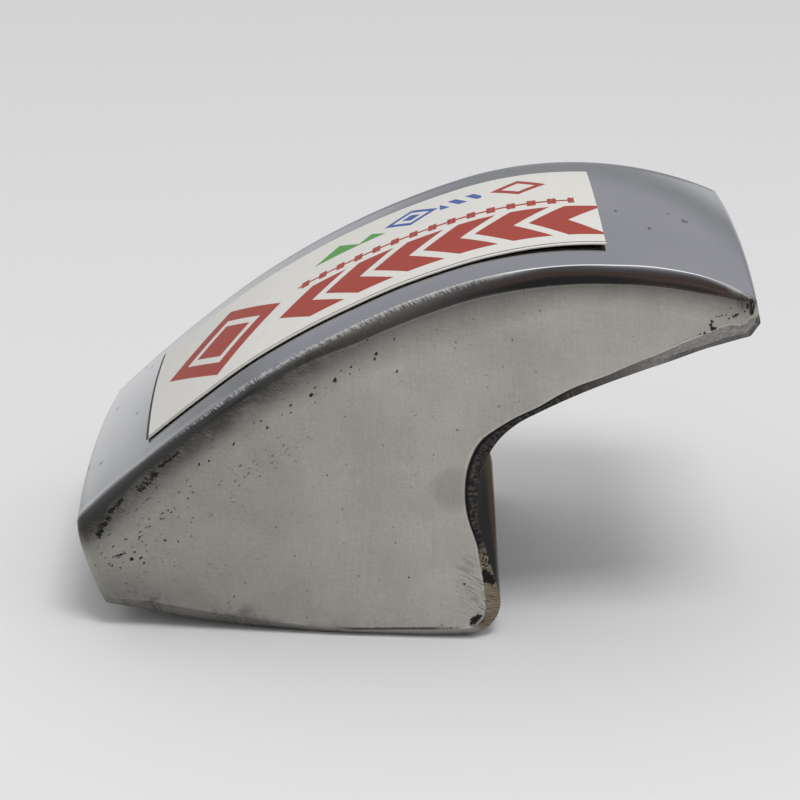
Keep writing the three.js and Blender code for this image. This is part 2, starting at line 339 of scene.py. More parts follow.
def make_mesh(name, points, faces, finish):
    """An object with points in metres and faces of four corners."""
    mesh = bpy.data.meshes.new(name)
    mesh.from_pydata(points, [], faces)
    mesh.materials.append(finish)
    return placed(name, mesh)


def make_piece(name, points, faces, finish):
    """The same of points in millimetres, drawn smooth, as a piece of the model."""
    piece = make_mesh(name, (points * MM).tolist(), faces, finish)
    piece.data.shade_smooth()
    piece.data.set_sharp_from_angle(angle=SHARP)
    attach(piece, "root")
    return piece


def border(grid):
    """The values round a grid: down its first column, along its last row and back."""
    return np.concatenate([grid[:, 0], grid[-1, 1:], grid[-2::-1, -1], grid[0, -2:0:-1]])


def cells(grid):
    """The four corners of each cell of a grid of vertex numbers or of places."""
    corners = [grid[:-1, :-1], grid[:-1, 1:], grid[1:, 1:], grid[1:, :-1]]
    return np.stack(corners, axis=2).reshape(-1, 4, *grid.shape[2:])


def add_weight(piece, name, values):
    """A number for each vertex, which the finish reads by name."""
    attribute = piece.data.attributes.new(name, "FLOAT", "POINT")
    attribute.data.foreach_set("value", np.asarray(values, np.float32).ravel())


def add_map(piece, by_corner):
    """A UV map in metres from one pair of numbers for each face corner."""
    layer = piece.data.uv_layers.new(name="surface")
    layer.uv.foreach_set("vector", (by_corner * MM).astype(np.float32).ravel())


# Block

LONG_STEPS = 330  # along the working face and the underside
END_STEPS = 56  # along the tip and the heel
RIM_STEPS = 18
BODY_STEPS = 24
GRADING = 0.06  # how much the underside's steps shrink towards its ends
COLUMN_LEAN = 0.17  # most lean of a side's columns, as a share of the working face
LEAN_POWER = 0.9  # below 1, it moves the most lean towards the tip
END_FADE = 10  # power at which an end's bulge fades into a flat side
RIM_FINE = 200  # points that a rim's section is summed over
RIM_TURN = 0.07  # share of a rim's girth in its turn at the body
SIDE_TURN = 0.03  # and at the flat side
WRAP_FILLS = {"side": 1, "polish": 0, "forged": 0, "stain": 0, "rim": 0, "depth": 0}  # inside a flat side
EDGE_DEPTH = 5  # points this near to a side know their gaps from its edges


def station_runs():
    """Runs of the outline's stations: working face, tip, underside and heel. Those of the working face lie
    closer over the foot, so that a side's columns lean to meet the wall squarely."""
    ends = ("heel_top", "tip_corner", "nose", "heel_foot")
    start, tip_top, tip_low, heel_low = [at(name, 0.5) for name in ends]
    share = np.linspace(0, 1, LONG_STEPS + 1)
    leant = share - COLUMN_LEAN * np.sin(math.pi * (1 - share) ** LEAN_POWER) ** 2
    top = start + (tip_top - start) * leant
    tip = np.linspace(tip_top, tip_low, END_STEPS + 1)
    graded = share - GRADING * np.sin(2 * math.pi * share)
    under = tip_low + (heel_low - tip_low) * graded
    heel = np.linspace(heel_low, start + ROUND, END_STEPS + 1)
    return np.concatenate([top[:-1], tip[:-1], under[:-1], heel[:-1]])


def rim_rows(run, rim, side):
    """Rows from a flat side to the body. The slope turns from 0 to first, eases to last and turns on to 90
    degrees. Sums of its cosine and sine along the rows are scaled to the inset and the setback."""
    inset, setback, first, last, gradual = rim(run)
    share = (1 - np.cos(np.linspace(0, math.pi, RIM_STEPS + 1)))[:, None] / 2
    fine = np.linspace(0, 1, RIM_FINE + 1)[:, None]
    eased = ramp(fine, 0.5 - 0.5 * gradual, 0.5 + 0.5 * gradual)
    slope = np.radians(first + (last - first) * eased)
    slope = slope * np.clip(fine / SIDE_TURN, 0, 1)
    slope = slope + (math.pi / 2 - slope) * np.clip((fine - 1) / RIM_TURN + 1, 0, 1)
    rise = np.cumsum(np.concatenate([0 * slope[:1], np.cos(slope[1:])]), axis=0)
    depth = np.cumsum(np.concatenate([0 * slope[:1], np.sin(slope[1:])]), axis=0)
    rows = np.rint(share[:, 0] * RIM_FINE).astype(int)
    inward = inset * (1 - rise[rows] / rise[-1])
    back = setback * depth[rows] / depth[-1]
    if side < 0:
        inward = inward - near_lift(run)
    flat = along(run) - inward[..., None] * outward(run)
    y = side * (HALF - back)
    return np.stack([flat[..., 0], y, flat[..., 1]], axis=-1)


def settled(run):
    """A run moved inwards near the working face's ends, so that the swell turns past its sharp corners."""
    away = profile(
        run, HOLD_BLUR, heel_face=[(0.9, 0)], heel_top=CORNER_HOLD, heel_run=[(0, CORNER_HOLD), (0.15, 0)],
        crest=[(0.85, 0)], tip_corner=-CORNER_HOLD, tip_face=[(0, -CORNER_HOLD), (0.9, 0)],
    )
    return run + away


def over_body(run, y, height=0):
    """Points at depth y, a height over the body, which follows the swell between the rims."""
    near, far = -HALF + near_rim(run)[1], HALF - far_rim(run)[1]
    held = settled(run)
    rise = body_rise(held, (2 * y - near - far) / (far - near)) + height
    flat = along(run) + rise[..., None] * outward(held, SWELL_BLEND)
    return np.stack([flat[..., 0], y, flat[..., 1]], axis=-1)


def body_rows(run):
    """Rows between the two rims."""
    near, far = -HALF + near_rim(run)[1], HALF - far_rim(run)[1]
    return over_body(run, near + (far - near) * np.linspace(0, 1, BODY_STEPS + 1)[1:-1, None])


def side_patch(ring):
    """A flat side inside its ring of stations: straight columns from top to underside, plus each end's
    bulge over its own column, which fades as a power of the share along."""
    n, m = LONG_STEPS, END_STEPS
    closed = np.concatenate([ring, ring[:1]])
    top, tip = closed[:n + 1], closed[n:n + m + 1]
    under, heel = closed[n + m:2 * n + m + 1][::-1], closed[2 * n + m:][::-1]
    u = np.linspace(0, 1, n + 1)[:, None, None]
    v = np.linspace(0, 1, m + 1)[None, :, None]
    columns = (1 - v) * top[:, None] + v * under[:, None]
    heel_bulge = heel - columns[0]
    tip_bulge = tip - columns[-1]
    return columns + (1 - u) ** END_FADE * heel_bulge + u ** END_FADE * tip_bulge


def make_block():
    run = station_runs()
    rows = np.concatenate([rim_rows(run, near_rim, -1), body_rows(run), rim_rows(run, far_rim, 1)[::-1]])
    points = [rows.reshape(-1, 3)]
    used = len(points[0])
    wrap = np.arange(used).reshape(rows.shape[:2])
    quads = [cells(np.concatenate([wrap, wrap[:, :1]], axis=1))]
    for level in (0, -1):
        patch = side_patch(rows[level])
        ids = np.full(patch.shape[:2], -1)
        np.put(ids, border(np.arange(ids.size).reshape(ids.shape)), wrap[level])
        inner = ids < 0
        ids[inner] = used + np.arange(inner.sum())
        used += inner.sum()
        points.append(patch[inner])
        quads.append(cells(ids)[:, ::-1] if level else cells(ids))
    points = np.concatenate(points)
    faces = np.concatenate(quads)

    block = make_piece("steel_block", points, faces.tolist(), block_finish())
    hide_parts("dolly_block")

    # The wrap is mapped by its run and girth, and each side by its own x and z.
    girth = np.concatenate([[0 * run], np.cumsum(np.linalg.norm(np.diff(rows, axis=0), axis=-1), axis=0)])
    places = np.stack([np.broadcast_to(run, girth.shape), girth], axis=-1)
    wrap_map = cells(np.concatenate([places, places[:, :1] + [ROUND, 0]], axis=1))
    side_map = points[faces[len(wrap_map):]][..., [0, 2]]
    add_map(block, np.concatenate([wrap_map, side_map]))

    inner = len(points) - rows[..., 0].size
    for name, values in block_weights(run, rows).items():
        add_weight(block, name, np.concatenate([values.ravel(), np.full(inner, WRAP_FILLS[name])]))
    for name, values in edge_gaps(points, run, rows[0]).items():
        add_weight(block, name, values)


def ramp(value, low, high):
    """0 below low, 1 above high and a smooth rise between them."""
    share = np.clip((value - low) / (high - low), 0, 1)
    return share * share * (3 - 2 * share)


def block_weights(run, rows):
    """Where finishes lie on the wrap: side on ground sides, polish on the working face with its rims,
    forged on the dark hook, throat and wall, and stain on the foot's tan chamfer. rim: the near edges."""
    level = np.arange(len(rows))[:, None]
    in_rim = np.clip(np.minimum(level, level[::-1]) / RIM_STEPS, 0, 1)
    near = np.where(level <= len(rows) / 2, 1.0, 0.0)
    wrap = ramp(in_rim, 0.1, 0.2)
    crown = ramp(run, at("heel_top"), at("heel_run") + 0.5)
    crown = crown * (1 - ramp(run, at("tip_corner"), at("tip_face")))
    dark = ramp(run, at("hook", 0.75), at("bow", 0.2))
    dark = dark * (1 - ramp(run, at("wall", 0.75), at("foot", 0.25)))
    dark_edge = ramp(run, at("bow", 0.05), at("bow", 0.9)) * dark
    stained = ramp(run, at("wall", 0.1), at("wall", 0.3))
    stained = stained * (1 - ramp(run, at("foot", 0.6), at("foot", 0.85)))
    slope = near * (1 - ramp(in_rim, 0.9, 1.0))
    heel = ramp(run, at("heel_foot", 0.5), at("heel_face", 0.1))
    heel = heel + 1 - ramp(run, at("heel_top"), at("heel_run"))
    tip = ramp(run, at("tip_corner", 0.5), at("tip_face", 0.2))
    tip = tip * (1 - ramp(run, at("tip_face", 0.5), at("tip_face", 0.8)))
    blended = (heel + tip) * slope * wrap
    return {
        "side": 1 - wrap + blended,
        "polish": crown * wrap,
        "forged": (dark + (dark_edge - dark) * slope) * wrap,
        "stain": stained * slope * ramp(in_rim, 0, 0.05),
        "rim": slope + 0 * run,
        "depth": in_rim + 0 * run,
    }


def edge_gaps(points, run, ring):
    """How far a side's points are from its edges with the working face, the throat and the foot."""
    stretches = {
        "crown_gap": run < at("tip_corner", 0.5),
        "throat_gap": (run > at("nose", 0.5)) & (run < at("foot")),
        "foot_gap": (run > at("wall", 0.8)) & (run < at("heel_foot")),
    }
    gaps = {}
    flat = np.abs(points[:, 1]) > HALF - EDGE_DEPTH
    for name, chosen in stretches.items():
        apart = points[flat][:, None, [0, 2]] - ring[None, chosen][..., [0, 2]]
        gaps[name] = np.zeros(len(points))
        gaps[name][flat] = np.sqrt((apart ** 2).sum(axis=-1).min(axis=1))
    return gaps


# Label

FILM_STEPS = (180, 96)
ADHESIVE_STEPS = (90, 48)
RAY_STEPS = 2001


def on_crown(across, down):
    """The point of the working face under a pixel of the photograph: where its ray meets the face."""
    y = np.linspace(-HALF, HALF, RAY_STEPS)
    ray = np.array([from_photo(across, down, depth) for depth in y])
    crown = (RUNS > at("heel_run")) & (RUNS < at("tip_corner"))
    height = np.interp(ray[:, 0], TRACK[crown, 0], TRACK[crown, 1]) + CROSS_CROWN * (1 - (y / HALF) ** 2)
    return tuple(ray[np.argmin(np.abs(ray[:, 2] - height))])


def label_place(u, v, inset):
    """The run and place across of shares along and across the label: bilinear between its inset corners."""
    near, far = [left * (1 - u) + right * u for left, right in LABEL]
    place = near * (1 - v) + far * v
    return place[..., 0] + inset * (1 - 2 * u[..., 0]), place[..., 1] + inset * (1 - 2 * v[..., 0])


def label_lift(run, across):
    """How far the film has come away: most at the near right corner, falling along and across it."""
    end, side = LABEL[0, 1]
    from_end = np.clip(1 - (end - run) / LIFT_RUN, 0, None)
    from_side = np.clip(1 - (across - side) / LIFT_ACROSS, 0, None)
    return CORNER_LIFT * from_end * from_side ** 2


def make_sheet(name, steps, inset, low, high, finish):
    """A closed sheet over the working face: top and bottom grids and a strip round their edges."""
    u = np.linspace(0, 1, steps[0] + 1)[:, None, None]
    v = np.linspace(0, 1, steps[1] + 1)[None, :, None]
    run, across = label_place(u, v, inset)
    lift = label_lift(run, across)
    top, bottom = [over_body(run + CREST_RUN, across - HALF, lift + height) for height in (high, low)]
    size = run.size
    ids = np.arange(size).reshape(run.shape)
    grid = cells(ids.T)
    edge = border(ids)
    after = np.roll(edge, -1)
    strip = np.stack([after, edge, edge + size, after + size], axis=-1)
    faces = np.concatenate([grid, grid[:, ::-1] + size, strip])
    points = np.concatenate([top.reshape(-1, 3), bottom.reshape(-1, 3)])
    piece = make_piece(name, points, faces.tolist(), finish)
    flat = np.stack([run, across], axis=-1).reshape(-1, 2) - LABEL[0, 0]
    add_map(piece, np.concatenate([flat, flat])[faces])
    add_weight(piece, "top", np.concatenate([np.ones(size), np.zeros(size)]))
    return piece


def make_label():
    adhesive_top = SEAT_GAP + ADHESIVE
    finish = adhesive_finish()
    adhesive = make_sheet("adhesive_layer", ADHESIVE_STEPS, ADHESIVE_INSET, SEAT_GAP, adhesive_top, finish)
    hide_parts("label_adhesive")
    film_low = adhesive_top + ADHESIVE_GAP
    film = make_sheet("label_film", FILM_STEPS, 0, film_low, film_low + FILM, film_finish())
    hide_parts("label_face")


# Finishes

def maths(operation, swapped=False):
    """A method that adds a Math node on the wire and another value, which comes first if swapped."""
    def method(wire, other):
        values = (other, wire) if swapped else (wire, other)
        return wire.math(operation, *values)

    return method


class Wire:
    """An output of one of a tree's nodes. Arithmetic on wires and numbers adds Math nodes."""

    def __init__(self, nodes, socket):
        self.nodes = nodes
        self.socket = socket

    def math(self, operation, *values):
        return self.nodes.node("Math", dict(enumerate(values)), operation=operation)

    __add__ = maths("ADD")
    __radd__ = __add__
    __sub__ = maths("SUBTRACT")
    __rsub__ = maths("SUBTRACT", swapped=True)
    __mul__ = maths("MULTIPLY")
    __rmul__ = __mul__
    __truediv__ = maths("DIVIDE")
    __pow__ = maths("POWER")
    least = maths("MINIMUM")
    most = maths("MAXIMUM")
    wrapped = maths("FLOORED_MODULO")    # starts again from 0 at each pitch
    folded = maths("PINGPONG")           # goes up to a reach and back, over and over

    def size(self):
        return self.math("ABSOLUTE", self)

    def above(self, low, high):
        """0 below low, 1 above high and a smooth rise between them."""
        values = {0: self, 1: low, 2: high}
        return self.nodes.node("MapRange", values, interpolation_type="SMOOTHSTEP")

    def below(self, low, high):
        return 1 - self.above(low, high)


class Nodes:
    """A node tree being built."""

    def __init__(self, tree):
        self.tree = tree

    def node(self, kind, values=None, output=0, **settings):
        """A node with its settings and then its values or wires, as one of its outputs."""
        made = self.tree.nodes.new("ShaderNode" + kind)
        for name, value in settings.items():
            setattr(made, name, value)
        for key, value in (values or {}).items():
            self.feed(made.inputs[key], value)
        return Wire(self, made.outputs[output])

    def feed(self, socket, value):
        if isinstance(value, Wire):
            self.tree.links.new(value.socket, socket)
        else:
            socket.default_value = value

    def parts(self, vector):
        """The three numbers of a vector."""
        x = self.node("SeparateXYZ", {0: vector})
        return [Wire(self, output) for output in x.socket.node.outputs]

    def vectors(self, operation, first, second, output="Vector"):
        """A Vector Math node on two vectors."""
        return self.node("VectorMath", {0: first, 1: second}, output, operation=operation)

    def scaled(self, vector, share):
        """A vector or a colour times a number."""
        return self.node("VectorMath", {0: vector, "Scale": share}, operation="SCALE")

    def turned(self, vector, angles=(0, 0, 0), scale=(1, 1, 1)):
        """A vector turned by angles in degrees and then stretched."""
        turns = tuple(math.radians(angle) for angle in angles)
        turned = self.node("VectorRotate", {0: vector, 4: turns}, rotation_type="EULER_XYZ")
        return self.vectors("MULTIPLY", turned, scale)

    def noise(self, vector, scale, detail=3.0, rough=0.55, output=0):
        """Fractal noise about a half, with scale features to the millimetre."""
        values = {"Vector": vector, "Scale": scale, "Detail": detail, "Roughness": rough}
        return self.node("TexNoise", values, output)

    def strokes(self, vector, lean, pitch, length, detail=2.0):
        """Noise drawn out into strokes a pitch apart on an XZ face, leaning from upright by degrees."""
        drawn = self.turned(vector, (0, lean, 0), (1 / pitch, 1 / pitch, 1 / length))
        return self.noise(drawn, 1.0, detail)

    def pits(self, vector, spread, size, share):
        """Scattered spots over X and Y: of cells a spread apart, a share holds one of up to a size."""
        values = {"Vector": vector, "Scale": 1 / spread}
        away = self.node("TexVoronoi", values, "Distance", voronoi_dimensions="2D")
        chance, growth, _ = self.parts(Wire(self, away.socket.node.outputs["Color"]))
        reach = (growth * 0.6 + 0.4) * (size / spread)
        return (away / reach).below(0.6, 1.0) * chance.below(share - 0.01, share)

    def marks(self, vector, spots, lean=0, scale=(1, 1, 1)):
        """Spots at chosen points, each with its radius, in a space that leans and is stretched."""
        vector = self.turned(vector, (0, lean, 0), scale)
        lean = Matrix.Rotation(math.radians(lean), 3, "Y")
        nearest = 1.0
        for point, radius in spots:
            point = tuple(np.array(lean @ Vector(point)) * scale)
            nearest = (self.vectors("DISTANCE", vector, point, "Value") / radius).least(nearest)
        return nearest.below(0.55, 1.0)

    def mix(self, share, first, second):
        """A colour between two colours."""
        return self.node("Mix", {0: share, 6: first, 7: second}, 2, data_type="RGBA")

    def layered(self, colour, *layers):
        """A colour with others over it in turn, each a share and a colour."""
        for share, over in layers:
            colour = self.mix(share, colour, over)
        return colour


class Finish(Nodes):
    """A material being built, with its Principled shader."""

    def __init__(self, name, **constants):
        self.material = bpy.data.materials.new(name)
        self.material.use_nodes = True
        super().__init__(self.material.node_tree)
        self.shader = self.tree.nodes["Principled BSDF"]
        self.paint(**constants)

    def paint(self, **wires):
        """Feeds sockets of the Principled shader."""
        for name, wire in wires.items():
            self.feed(self.shader.inputs[name.replace("_", " ")], wire)

    def cover(self, share, **constants):
        """Lays a second Principled shader over the first, and goes on with it."""
        under = self.shader
        self.shader = self.tree.nodes.new("ShaderNodeBsdfPrincipled")
        self.paint(**constants)
        sheets = {0: share, 1: Wire(self, under.outputs[0]), 2: Wire(self, self.shader.outputs[0])}
        both = self.node("MixShader", sheets)
        self.feed(self.tree.nodes["Material Output"].inputs["Surface"], both)

    def weight(self, name):
        return self.node("Attribute", output="Fac", attribute_name=name)

    def spot(self):
        """The point on the piece, in millimetres."""
        return self.scaled(self.node("TexCoord", output="Object"), 1 / MM)

    def surface(self):
        """The point on the piece's own map, in millimetres."""
        return self.scaled(self.node("UVMap", uv_map="surface"), 1 / MM)

    def shifted(self, vector, scale, reach):
        """A vector moved by up to half a reach, at random but smoothly."""
        loose = self.noise(vector, scale, 2, 0.5, "Color")
        loose = self.vectors("SUBTRACT", loose, (0.5, 0.5, 0.5))
        return self.vectors("ADD", vector, self.scaled(loose, reach))

    def scores(self, spot, strokes):
        """Clusters of deep scratches, each along a line on the near side."""
        ragged = 0.0
        for start, end, reach in SCORED:
            first, last = np.array(from_photo(*start)), np.array(from_photo(*end))
            length = np.linalg.norm(last - first)
            ahead = (last - first) / length
            offset = self.vectors("SUBTRACT", spot, tuple(first))
            going = self.vectors("DOT_PRODUCT", offset, tuple(ahead), "Value")
            aside = self.vectors("DOT_PRODUCT", offset, (-ahead[2], 0, ahead[0]), "Value")
            beyond = going - going.most(0.0).least(length)
            ragged = ((aside ** 2 + beyond ** 2) ** 0.5 / reach).below(0.0, 1.9).most(ragged)
        _, y, _ = self.parts(spot)
        grain = self.noise(spot, 2.4, 5, 0.7)
        return (ragged + (strokes - 0.5) * 1.6 + (grain - 0.5) * 3.2).above(0.68, 0.92) * y.below(0, 1)

    def raised(self, height):
        """The normal of a surface on which a height in millimetres stands up."""
        return self.node("Bump", {"Height": height, "Distance": MM, "Strength": 1.0})


def grey(value, warmth=0.0, olive=0.0):
    """A grey, lit towards red and away from blue by warmth, and further away from blue by olive."""
    return (value * (1 + warmth), value, value * (1 - warmth - olive), 1)


# Pits of the near side: pixels of the photograph, and the radius in millimetres
SIDE_PITS = [
    (376, 354, 0.36), (375, 359, 0.25), (394, 339, 0.22), (367, 340, 0.2), (397, 371.5, 0.25),
    (351, 367, 0.25), (335, 380, 0.42), (341, 371, 0.2), (360, 369, 0.18), (350, 374, 0.22),
    (315, 388, 0.28), (311, 395, 0.34), (291, 405, 0.22), (291, 412, 0.18), (261, 421, 0.22),
    (267, 428, 0.24), (234, 444, 0.26), (199, 464, 0.3), (209, 461, 0.24), (165, 540, 0.2),
    (178, 541, 0.18), (132, 559, 0.38), (135, 552, 0.22), (141, 558, 0.26), (144, 563, 0.22),
    (120, 568, 0.18), (140, 537, 0.26), (147, 551, 0.18), (163, 465, 0.3), (176, 455, 0.24),
    (327, 475, 0.14), (464.5, 584, 0.24), (456.5, 591, 0.17), (409, 577.5, 0.2), (234, 596, 0.18),
    (513, 340, 0.16), (457, 430, 0.14), (474, 620.5, 0.85), (477.5, 618, 0.7), (471, 623.5, 0.4),
    (481, 616, 0.3), (188, 498.5, 0.22), (175, 494, 0.14), (168, 510, 0.2), (160.5, 518.5, 0.15),
    (149.5, 519, 0.16), (150, 526.5, 0.15), (191.5, 522, 0.14), (187, 507, 0.16), (178, 517, 0.14),
    (153.5, 511.5, 0.12), (139, 525.5, 0.12), (131, 533.5, 0.1), (171, 460, 0.14),
]
# The same on the hook's tip
TIP_PITS = [
    (712, 321.5, 0.35), (711, 325, 0.38), (712.5, 328.5, 0.5), (714.5, 329, 0.35), (705, 333, 0.3),
    (700, 334.5, 0.22), (716, 317, 0.18), (719, 316, 0.16), (722, 315.5, 0.2), (726, 314.5, 0.16),
    (729, 318, 0.22), (733, 316.5, 0.24), (736, 315.5, 0.34), (738, 314.5, 0.26), (745, 311, 0.2),
    (731, 308, 0.16),
]
# Black blots on the hook's near corner and on the foot's chamfer, and their depth
TIP_BLOTS = [(750.5, 301, 0.45), (751, 305, 0.55), (750.5, 309.5, 0.5), (747, 304, 0.35)]
FOOT_BLOTS = [
    (484, 571, 0.75), (487, 575, 0.85), (490, 579, 0.85), (493, 583, 0.6), (485, 578, 0.5),
    (478, 619, 0.8), (474, 622, 0.85), (482, 617, 0.4),
]
BLOT_DEPTH = 1 - HALF
# A painted shadow in the middle of the near side, and a dull patch at the hook's corner
FACE_SHADOW = [(455, 489, 4.4)]
TIP_DIRT = [(746, 301, 1.9)]
PIT_GROWTH = 1.15  # the side's pits fade before their outline, so they are drawn this much larger
DASH_LEAN = 33  # degrees by which the rows of fine pits lean
# Clusters of scratches on the near side: pixels of both ends, and the reach either way in millimetres
SCORED = [
    ((140, 489), (154, 474), 0.75), ((99, 535), (108, 516), 0.65), ((109, 513), (122, 500), 0.4),
    ((160, 467), (178, 453), 0.3), ((113, 557), (126, 553), 0.16),
]
# Pits of the working face: pixels, and the radius in millimetres
CROWN_PITS = [
    (615.5, 211, 0.34), (649, 229, 0.38), (683, 222, 0.5), (686, 223, 0.4), (668, 215, 0.26),
    (147, 368, 0.3), (152, 368, 0.24), (118, 411, 0.3), (137, 416, 0.26), (89, 466, 0.3), (101, 465, 0.3),
]


def spots(table, point=from_photo, growth=1.0, **depth):
    """Points and radii in millimetres of a table of pixels and radii."""
    return [(point(across, down, **depth), radius * growth) for across, down, radius in table]


def block_finish():
    finish = Finish("worked_steel")
    mix, layered, scaled, noise = finish.mix, finish.layered, finish.scaled, finish.noise
    strokes, turned, marks, pits = finish.strokes, finish.turned, finish.marks, finish.pits
    spot = finish.spot()
    surface = finish.surface()
    x, y, z = finish.parts(spot)
    side, polish, forged, stain, rim, depth = map(finish.weight, WRAP_FILLS)
    crown_gap, throat_gap, foot_gap = map(finish.weight, ("crown_gap", "throat_gap", "foot_gap"))

    bent = finish.shifted(spot, 2.2, 0.7)
    facing = turned(bent, (90, 0, 0))
    planar = turned(spot, scale=(1, 0, 1))

    # Ground sides: mottled, brushed upright and level on the right and aslant on the left
    mottle = noise(spot, 1.9, 5, 0.75)
    cloud = noise(spot, 0.09, 4, 0.6)
    upright = strokes(spot, 3, 0.11, 5)
    level = strokes(spot, 84, 0.13, 4)
    slanted = strokes(planar, 68, 0.11, 1.5)
    leftward = x.below(-42, 4)
    brushing = upright * 0.55 + level * 0.3 + slanted * 0.15
    brushing = brushing + (slanted - brushing) * leftward * 0.7
    clouded = (cloud * 0.5 + mottle * 0.5).above(0.3, 0.7)
    ground = mix(clouded, grey(0.43, 0.04, 0.05), grey(0.56, 0.035, 0.05))
    ground = scaled(ground, 1 - leftward * 0.24 + (brushing - 0.5) * 0.5)

    # Darker towards the working face, partly painted shade and partly dirt drawn out across the edge, and
    # along the foot
    patchy = noise(spot, 0.22, 4, 0.6)
    # Painted shade, with streaks of dirt through it: the near side darkens towards the working face
    streaked = crown_gap * (0.6 + patchy * 0.5 + slanted * 0.3) / (6.0 - x.above(8, 26) * 2.2)
    edge_shade_and_dirt = 0.32 + 0.68 * streaked.least(1.0) ** 0.7 + rim * x.above(-28, -18) * 0.16
    smear = crown_gap.below(0.3, 4.5) * (patchy * 0.5 + slanted * 0.7).above(0.46, 0.68) * x.below(-22, -2)
    grime = (foot_gap + patchy * 1.2 + mottle * 0.8).below(0.9, 1.5) * patchy.above(0.36, 0.5)
    grime = grime * x.above(-34, -22) * (1 - x.below(-14, -4) * 0.6)
    lined = (foot_gap + mottle * 0.3).below(0.36, 0.62) * x.above(-13, -8) * x.below(4, 8)
    # Painted shade: the near side is darker near the sole on the left and in its lower left corner
    painted_shade_low_left = foot_gap.below(0, 9) * x.below(-34, -12) * 0.13 + x.below(-49, -36) * z.below(2, 14) * 0.24
    speckled = (patchy * 0.5 + mottle * 0.5).above(0.46, 0.6) * x.below(-14, -6)
    # Painted shadow: a dark patch in the middle of the near side
    shadow = marks(spot, spots(FACE_SHADOW))
    strip = throat_gap.below(0.2, 2.2) * x.above(16, 24) * x.below(36, 42)
    ground = layered(
        scaled(ground, edge_shade_and_dirt), (smear * (0.7 + leftward * 0.2), grey(0.07, 0.07, 0.05)),
        (grime.most(lined) * 0.85, grey(0.04, 0.08, 0.05)),
    )
    ground = scaled(ground, 1 - painted_shade_low_left - speckled * foot_gap.below(0.3, 3.5) * 0.36)
    ground = mix(shadow * 0.35, ground, grey(0.25, 0.06, 0.04))
    ground = mix(strip * 0.3, ground, grey(0.62, 0.035, 0.05))

    # Pits, clusters of deep scratches, and the file's scratches that run off over the foot's chamfer
    upper = crown_gap.below(7, 16) * crown_gap.above(1, 3) * x.below(-28, -6)
    clumps = noise(spot, 0.25, 2).above(0.48, 0.58)
    dashed = turned(facing, (0, 0, DASH_LEAN), (0.45, 1.5, 1))
    fine_pits = pits(dashed, 1.0, 0.2, 0.5) * clumps * upper * 0.8
    faint = pits(facing, 2.6, 0.2, 0.35) * x.below(18, 24)
    filed = strokes(planar, 62, 0.14, 3.4, 1).above(0.56, 0.66) * throat_gap.below(1.0, 5.5)
    filed = filed * z.above(1.5, 3.5) * z.below(10, 17) * y.below(0, 1)
    pitted = marks(bent, spots(SIDE_PITS, growth=PIT_GROWTH), 66, (1, 1, 1.35))
    pitted = pitted.most(marks(bent, spots(TIP_PITS))).most(fine_pits).most(faint * 0.4)
    pitted = pitted.most(finish.scores(spot, slanted)).most(filed * 0.6)

    # Working face: polished, a little uneven, with small pits, and the file's ticks at its edge with a
    # painted highlight along them
    leftmost = x.below(9, 17)
    polished = mix(noise(spot, 0.05, 3).above(0.3, 0.7), grey(0.54, -0.02), grey(0.59, -0.015))
    flecks = marks(bent, spots(CROWN_PITS, on_crown), 0, (1, 0.45, 0))
    flecks = flecks.most(pits(surface, 5.0, 0.2, 0.25) * 0.5)
    ticks = noise(turned(surface, (0, 0, -20), (5.5, 0.5, 1)), 1, 2)
    ticked = rim * leftmost * depth.above(0.45, 0.75)
    # Dimmed by dirt on the file's ticks at the left, and painted shade on the working face near its near
    # edge
    dirt_and_edge_shade = leftmost * rim * depth.above(0.5, 0.8) * 0.24 + y.below(-29, -21) * x.below(0, 30) * 0.1
    filings = noise(turned(surface, (0, 0, -20), (3.6, 0.4, 1)), 1, 2).above(0.44, 0.58)
    # The file's ticks along the rim's top are rough, and painted near white as a painted highlight
    filed_ticks_and_highlight = polish * y.below(-29.4, -28.6) * depth.above(0.52, 0.68) * x.above(-41, -30) * x.below(4, 12)
    filed_ticks_and_highlight = filed_ticks_and_highlight * filings
    polished = layered(
        scaled(polished, 1 - dirt_and_edge_shade), (flecks * 0.85, grey(0.1, 0.1)),
        (ticked * ticks.below(0.34, 0.48) * 0.7, grey(0.16, 0.04)),
        # Painted dark reflection: the rim at the left is near black towards the side
        (rim * x.below(-30, -16) * depth.below(0.62, 0.82) * 0.95, grey(0.06, 0.06)),
        (filed_ticks_and_highlight * 0.7, grey(0.9, 0.02, 0.02)),
    )

    # Foot, heel and tip: coarse grinding across the width
    belt = noise(turned(surface, scale=(5, 0.12, 1)), 1, 3)
    plain = x.below(-30, -4)
    linished = mix(belt.above(0.3, 0.7), grey(0.3, 0.05, 0.03), grey(0.44, 0.04, 0.03))
    linished = mix(mottle.above(0.55, 0.75) * 0.5, linished, grey(0.14, 0.08))
    linished = mix(plain * rim * 0.8, linished, grey(0.36, 0.05, 0.03))
    # Painted shade: darker towards the left end, with dark blotches
    linished = scaled(linished, 1 - plain * 0.46 - speckled * 0.24)

    # Hook's near chamfer: an upper facet filed across, a lower one painted darker as shade, mottled, and
    # black corners
    hooked = rim * z.above(30, 34) * (1 - polish)
    rasped = strokes(planar, -52, 0.2, 1.2, 3)
    under = depth.above(0.5, 0.54) * x.above(36, 41)
    facet = mix((rasped * 0.6 + mottle * 0.4).above(0.4, 0.6), grey(0.19, 0.05), grey(0.34, 0.04, 0.03))
    facet = mix(x.below(30, 40) * 0.8, facet, grey(0.12, 0.06, 0.03))
